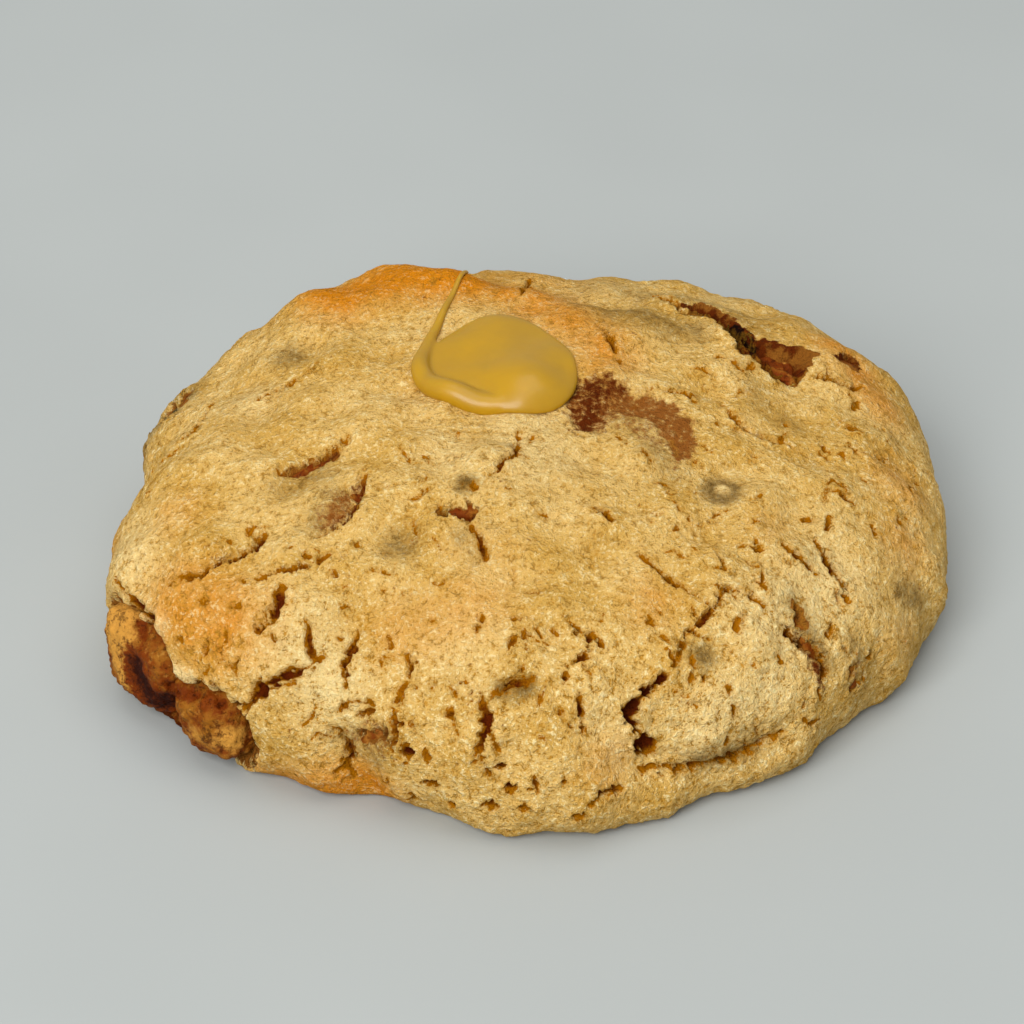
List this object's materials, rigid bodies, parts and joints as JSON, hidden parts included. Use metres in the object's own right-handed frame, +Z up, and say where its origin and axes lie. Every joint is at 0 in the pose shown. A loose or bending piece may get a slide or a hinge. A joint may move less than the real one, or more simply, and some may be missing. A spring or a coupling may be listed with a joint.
{
  "type": "chocolate chip cookie",
  "caption": "Thick round home-baked cookie with a cracked, lumpy crust, sunken chocolate pieces and a glossy drop of caramel on its crown.",
  "frame": {"origin": "on the table under the middle of the cookie's bounding box", "axes": "+Z up from the flat base; +X to the cookie's right, along its longest extent; +Y to its back; the caramel's thread runs towards +Y"},
  "size_m": [0.0792, 0.0708, 0.0237],
  "materials": {
    "dough": "matte baked crumb, golden with browned crests",
    "chocolate": "satin half-melted dark chocolate",
    "milk_chocolate": "satin milk chocolate, dusted with crumb",
    "caramel": "glossy set caramel"
  },
  "bodies": {
    "root": {"dough": "dough", "chunk_corner_high": "milk_chocolate", "chunk_corner_low": "chocolate", "chunk_great_crack": "chocolate", "chip_crack_end": "chocolate", "chunk_by_drop": "chocolate", "chip_slant": "chocolate", "chip_slit": "chocolate", "chip_hollow": "chocolate", "chip_front": "chocolate", "chip_plate": "chocolate", "chip_right": "chocolate", "chip_left_end": "chocolate", "caramel_drop": "caramel"}
  },
  "joints": []
}
